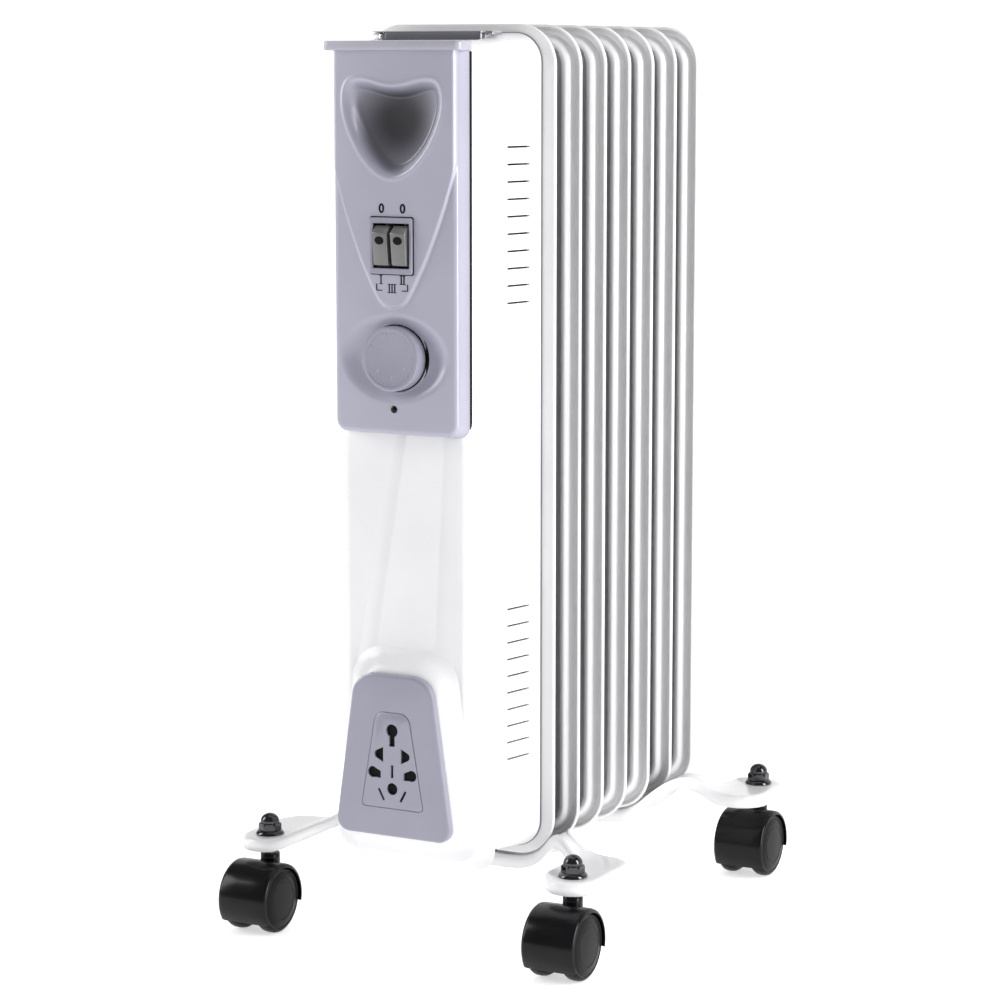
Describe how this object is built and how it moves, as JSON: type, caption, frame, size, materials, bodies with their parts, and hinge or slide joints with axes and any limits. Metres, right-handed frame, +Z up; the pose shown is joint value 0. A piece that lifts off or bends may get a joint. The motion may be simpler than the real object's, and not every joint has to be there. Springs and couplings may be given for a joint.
{
  "type": "oil filled radiator heater",
  "caption": "Free-standing oil filled radiator with pressed steel fins, control housing with dial, rocker switches and mains socket, recessed handle and twin-wheel casters.",
  "frame": {"origin": "on the floor, under the middle of the part's bounding box", "axes": "+Z up; -Y is the side with the control panel and socket; +X is to the right seen from the control panel"},
  "size_m": [0.2834, 0.368, 0.64],
  "materials": {
    "white_paint": "gloss white powder coat",
    "white_plastic": "gloss white moulding",
    "white_ceramic": "matt white insulating moulding",
    "panel_grey": "satin pearl grey moulding",
    "insert_grey": "satin grey moulding",
    "rocker_grey": "satin light grey moulding",
    "grip_grey": "satin dark grey moulding",
    "black_plastic": "gloss black moulding",
    "lens": "dark lens",
    "dark_chrome": "bright dark plated",
    "steel": "zinc plated",
    "element_steel": "plain tube",
    "brass": "plain",
    "rubber": "black"
  },
  "bodies": {
    "heater_body": {"fin_1": "white_paint", "fin_2": "white_paint", "fin_3": "white_paint", "fin_4": "white_paint", "fin_5": "white_paint", "fin_6": "white_paint", "fin_7": "white_paint", "element_flange": "brass", "heating_element_1": "element_steel", "heating_element_2": "element_steel", "filler_plug": "steel", "front_cover": "white_plastic", "heat_shield": "steel", "cord_grommet": "rubber", "control_panel": "panel_grey", "panel_lid": "panel_grey", "thermostat_body": "white_ceramic", "indicator_lens": "lens", "switch_frame": "insert_grey", "switch_body": "black_plastic", "socket_plate": "panel_grey", "socket_insert": "insert_grey", "contact_carrier": "black_plastic", "handle_grip": "grip_grey", "handle_bar": "steel", "terminal_block": "white_ceramic", "thermal_cut_out": "black_plastic", "front_foot": "white_paint", "rear_foot": "white_paint", "front_u_bolt": "steel", "front_wing_nut_left": "steel", "front_wing_nut_right": "steel", "rear_u_bolt": "steel", "rear_wing_nut_left": "steel", "rear_wing_nut_right": "steel", "front_left_acorn_nut": "dark_chrome", "front_left_stem": "steel", "front_right_acorn_nut": "dark_chrome", "front_right_stem": "steel", "rear_left_acorn_nut": "dark_chrome", "rear_left_stem": "steel", "rear_right_acorn_nut": "dark_chrome", "rear_right_stem": "steel"},
    "thermostat_dial": {"thermostat_knob": "panel_grey", "thermostat_shaft": "steel"},
    "switch_rocker_left": {"rocker_left": "rocker_grey"},
    "switch_rocker_right": {"rocker_right": "rocker_grey"},
    "front_left_swivel": {"front_left_hood": "black_plastic"},
    "front_left_wheel_l": {"front_left_wheel_left": "black_plastic"},
    "front_left_wheel_r": {"front_left_wheel_right": "black_plastic"},
    "front_right_swivel": {"front_right_hood": "black_plastic"},
    "front_right_wheel_l": {"front_right_wheel_left": "black_plastic"},
    "front_right_wheel_r": {"front_right_wheel_right": "black_plastic"},
    "rear_left_swivel": {"rear_left_hood": "black_plastic"},
    "rear_left_wheel_l": {"rear_left_wheel_left": "black_plastic"},
    "rear_left_wheel_r": {"rear_left_wheel_right": "black_plastic"},
    "rear_right_swivel": {"rear_right_hood": "black_plastic"},
    "rear_right_wheel_l": {"rear_right_wheel_left": "black_plastic"},
    "rear_right_wheel_r": {"rear_right_wheel_right": "black_plastic"}
  },
  "joints": [
    {"name": "thermostat_turn", "type": "hinge", "parent": "heater_body", "child": "thermostat_dial", "pos_m": [0, -0.176, 0.4165], "axis": [0, 1, 0], "range_deg": [0, 270]},
    {"name": "rocker_left_tip", "type": "hinge", "parent": "heater_body", "child": "switch_rocker_left", "pos_m": [-0.0071, -0.1705, 0.4924], "axis": [1, 0, 0], "range_deg": [0, 12]},
    {"name": "rocker_right_tip", "type": "hinge", "parent": "heater_body", "child": "switch_rocker_right", "pos_m": [0.0071, -0.1705, 0.4924], "axis": [1, 0, 0], "range_deg": [0, 12]},
    {"name": "front_left_swivel_turn", "type": "hinge", "parent": "heater_body", "child": "front_left_swivel", "pos_m": [-0.122, -0.145, 0.045], "axis": [0, 0, 1], "continuous": true},
    {"name": "front_left_wheel_left_roll", "type": "hinge", "parent": "front_left_swivel", "child": "front_left_wheel_l", "pos_m": [-0.13485, -0.1585, 0.024], "axis": [1, 0, 0], "continuous": true},
    {"name": "front_left_wheel_right_roll", "type": "hinge", "parent": "front_left_swivel", "child": "front_left_wheel_r", "pos_m": [-0.10915, -0.1585, 0.024], "axis": [1, 0, 0], "continuous": true},
    {"name": "front_right_swivel_turn", "type": "hinge", "parent": "heater_body", "child": "front_right_swivel", "pos_m": [0.122, -0.145, 0.045], "axis": [0, 0, 1], "continuous": true},
    {"name": "front_right_wheel_left_roll", "type": "hinge", "parent": "front_right_swivel", "child": "front_right_wheel_l", "pos_m": [0.10915, -0.1585, 0.024], "axis": [1, 0, 0], "continuous": true},
    {"name": "front_right_wheel_right_roll", "type": "hinge", "parent": "front_right_swivel", "child": "front_right_wheel_r", "pos_m": [0.13485, -0.1585, 0.024], "axis": [1, 0, 0], "continuous": true},
    {"name": "rear_left_swivel_turn", "type": "hinge", "parent": "heater_body", "child": "rear_left_swivel", "pos_m": [-0.122, 0.165, 0.045], "axis": [0, 0, 1], "continuous": true},
    {"name": "rear_left_wheel_left_roll", "type": "hinge", "parent": "rear_left_swivel", "child": "rear_left_wheel_l", "pos_m": [-0.13485, 0.1515, 0.024], "axis": [1, 0, 0], "continuous": true},
    {"name": "rear_left_wheel_right_roll", "type": "hinge", "parent": "rear_left_swivel", "child": "rear_left_wheel_r", "pos_m": [-0.10915, 0.1515, 0.024], "axis": [1, 0, 0], "continuous": true},
    {"name": "rear_right_swivel_turn", "type": "hinge", "parent": "heater_body", "child": "rear_right_swivel", "pos_m": [0.122, 0.165, 0.045], "axis": [0, 0, 1], "continuous": true},
    {"name": "rear_right_wheel_left_roll", "type": "hinge", "parent": "rear_right_swivel", "child": "rear_right_wheel_l", "pos_m": [0.10915, 0.1515, 0.024], "axis": [1, 0, 0], "continuous": true},
    {"name": "rear_right_wheel_right_roll", "type": "hinge", "parent": "rear_right_swivel", "child": "rear_right_wheel_r", "pos_m": [0.13485, 0.1515, 0.024], "axis": [1, 0, 0], "continuous": true}
  ]
}
